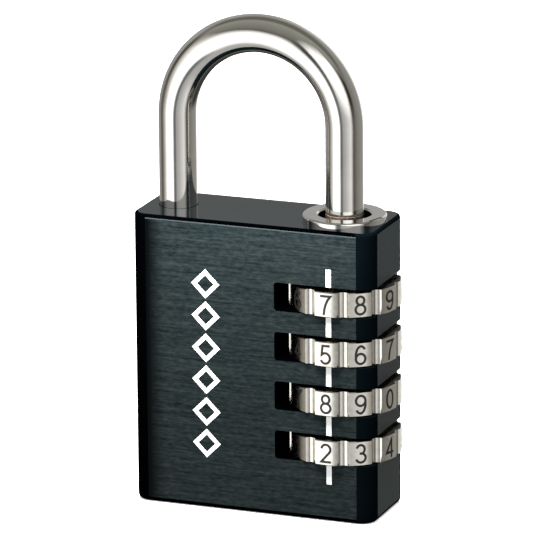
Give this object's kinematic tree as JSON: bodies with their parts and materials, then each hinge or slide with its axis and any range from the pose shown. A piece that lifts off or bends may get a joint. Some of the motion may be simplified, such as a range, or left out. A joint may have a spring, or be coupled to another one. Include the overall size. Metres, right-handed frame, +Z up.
{
  "type": "combination padlock",
  "caption": "Combination padlock with numbered dials in side slots of a rectangular case, and a round steel shackle with one long leg on the dial axis.",
  "frame": {"origin": "centre of the case's flat underside, which the padlock stands on", "axes": "+Z up along the case and the shackle legs, +X to the right towards the long leg and the open ends of the dial slots, +Y to the back; the index line is on the front, -Y"},
  "size_m": [0.0418, 0.0176, 0.0786],
  "materials": {
    "case": "black anodised, brushed front and back, glossy rounded corners",
    "shackle": "polished nickel-chrome plate on hardened steel",
    "dial": "satin nickel plate, digits filled black",
    "collar": "polished nickel plate",
    "brass": "machined",
    "spring_steel": "drawn wire",
    "steel": "stamped or ground",
    "plug": "black anodised, turned"
  },
  "bodies": {
    "housing": {"lock_body": "case", "shackle_collar": "collar", "thrust_washer": "steel", "bottom_plug": "plug", "reset_spring": "spring_steel", "detent_spring_1": "spring_steel", "detent_spring_2": "spring_steel", "detent_spring_3": "spring_steel", "detent_spring_4": "spring_steel"},
    "shackle_body": {"shackle": "shackle", "retaining_clip": "spring_steel"},
    "washer_body": {"stop_washer": "steel"},
    "dial_1_body": {"dial_1": "dial"},
    "code_1_body": {"code_sleeve_1": "brass"},
    "ball_1_body": {"detent_ball_1": "steel"},
    "dial_2_body": {"dial_2": "dial"},
    "code_2_body": {"code_sleeve_2": "brass"},
    "ball_2_body": {"detent_ball_2": "steel"},
    "dial_3_body": {"dial_3": "dial"},
    "code_3_body": {"code_sleeve_3": "brass"},
    "ball_3_body": {"detent_ball_3": "steel"},
    "dial_4_body": {"dial_4": "dial"},
    "code_4_body": {"code_sleeve_4": "brass"},
    "ball_4_body": {"detent_ball_4": "steel"}
  },
  "joints": [
    {"name": "shackle_lift", "type": "slide", "parent": "housing", "child": "shackle_body", "axis": [0, 0, 1], "range_m": [0, 0.006]},
    {"name": "dial_1_turn", "type": "hinge", "parent": "housing", "child": "dial_1_body", "pos_m": [0.0129, 0, 0.0356], "axis": [0, 0, 1], "continuous": true},
    {"name": "dial_2_turn", "type": "hinge", "parent": "housing", "child": "dial_2_body", "pos_m": [0.0129, 0, 0.0276], "axis": [0, 0, 1], "continuous": true},
    {"name": "dial_3_turn", "type": "hinge", "parent": "housing", "child": "dial_3_body", "pos_m": [0.0129, 0, 0.0196], "axis": [0, 0, 1], "continuous": true},
    {"name": "dial_4_turn", "type": "hinge", "parent": "housing", "child": "dial_4_body", "pos_m": [0.0129, 0, 0.0116], "axis": [0, 0, 1], "continuous": true},
    {"name": "code_1_reset", "type": "slide", "parent": "dial_1_body", "child": "code_1_body", "axis": [0, 0, -1], "range_m": [0, 0.002], "stiffness_N_per_m": 300, "springref_m": -0.002, "deforming": ["reset_spring"]},
    {"name": "code_2_reset", "type": "slide", "parent": "dial_2_body", "child": "code_2_body", "axis": [0, 0, -1], "range_m": [0, 0.002]},
    {"name": "code_3_reset", "type": "slide", "parent": "dial_3_body", "child": "code_3_body", "axis": [0, 0, -1], "range_m": [0, 0.002]},
    {"name": "code_4_reset", "type": "slide", "parent": "dial_4_body", "child": "code_4_body", "axis": [0, 0, -1], "range_m": [0, 0.002]},
    {"name": "washer_reset", "type": "slide", "parent": "housing", "child": "washer_body", "axis": [0, 0, -1], "range_m": [0, 0.002]},
    {"name": "detent_1_spring", "type": "slide", "parent": "housing", "child": "ball_1_body", "axis": [1, 0, 0], "range_m": [0, 0.0005], "stiffness_N_per_m": 400, "springref_m": 0.0015},
    {"name": "detent_2_spring", "type": "slide", "parent": "housing", "child": "ball_2_body", "axis": [1, 0, 0], "range_m": [0, 0.0005], "stiffness_N_per_m": 400, "springref_m": 0.0015},
    {"name": "detent_3_spring", "type": "slide", "parent": "housing", "child": "ball_3_body", "axis": [1, 0, 0], "range_m": [0, 0.0005], "stiffness_N_per_m": 400, "springref_m": 0.0015},
    {"name": "detent_4_spring", "type": "slide", "parent": "housing", "child": "ball_4_body", "axis": [1, 0, 0], "range_m": [0, 0.0005], "stiffness_N_per_m": 400, "springref_m": 0.0015}
  ],
  "couplings": [
    {"joint": "code_2_reset", "follows": "code_1_reset", "ratio": 1},
    {"joint": "code_3_reset", "follows": "code_1_reset", "ratio": 1},
    {"joint": "code_4_reset", "follows": "code_1_reset", "ratio": 1},
    {"joint": "washer_reset", "follows": "code_1_reset", "ratio": 1}
  ]
}
